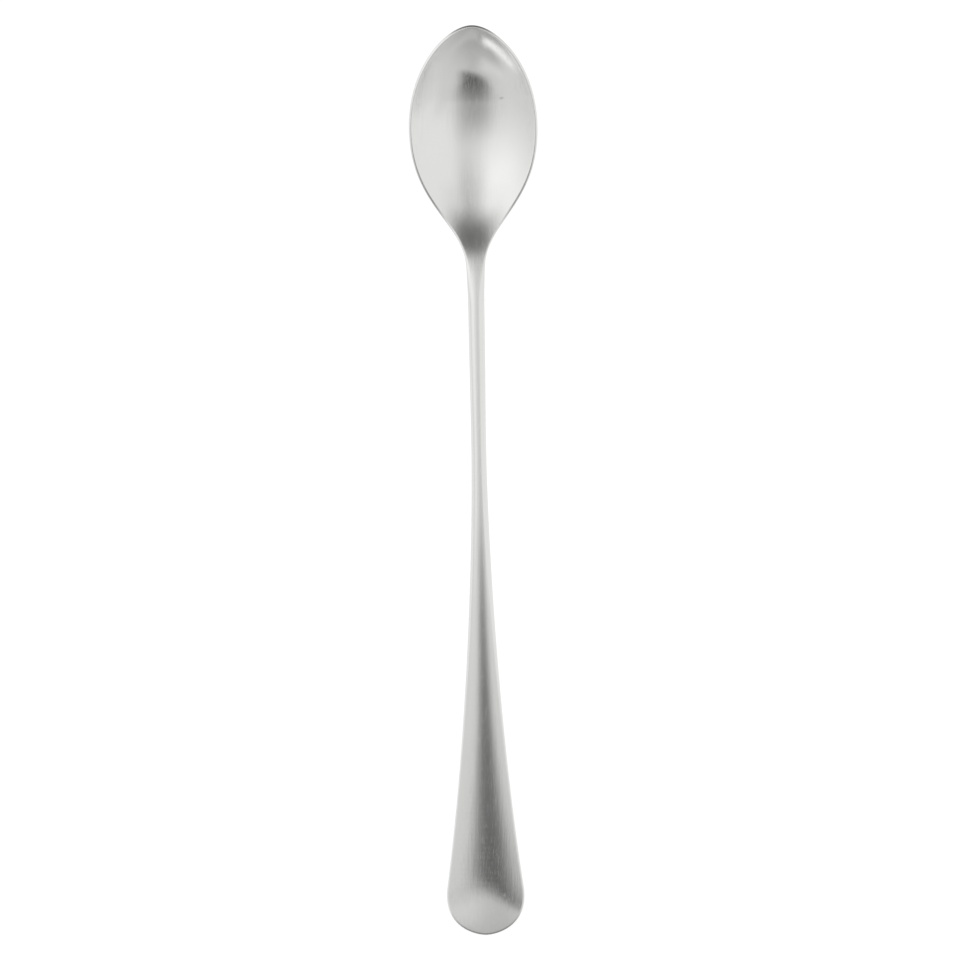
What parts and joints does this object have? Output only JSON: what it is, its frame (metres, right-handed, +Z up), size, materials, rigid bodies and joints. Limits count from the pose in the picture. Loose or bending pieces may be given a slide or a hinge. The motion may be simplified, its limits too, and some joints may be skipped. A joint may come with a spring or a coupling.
{
  "type": "iced tea spoon",
  "caption": "Plain long-handled stainless steel spoon with a small deep oval bowl, a slender arched stem and a flared handle with a rounded end.",
  "frame": {"origin": "on the table, below the middle of the spoon's length, with the spoon resting on its bowl and the end of its handle", "axes": "+Y along the spoon towards the tip of the bowl, +Z up out of the open side of the bowl, +X across"},
  "size_m": [0.0284, 0.2, 0.0128],
  "materials": {
    "steel": "satin stainless steel with a fine grain along the length"
  },
  "bodies": {
    "root": {"bowl": "steel", "neck": "steel", "stem": "steel", "handle": "steel"}
  },
  "joints": []
}
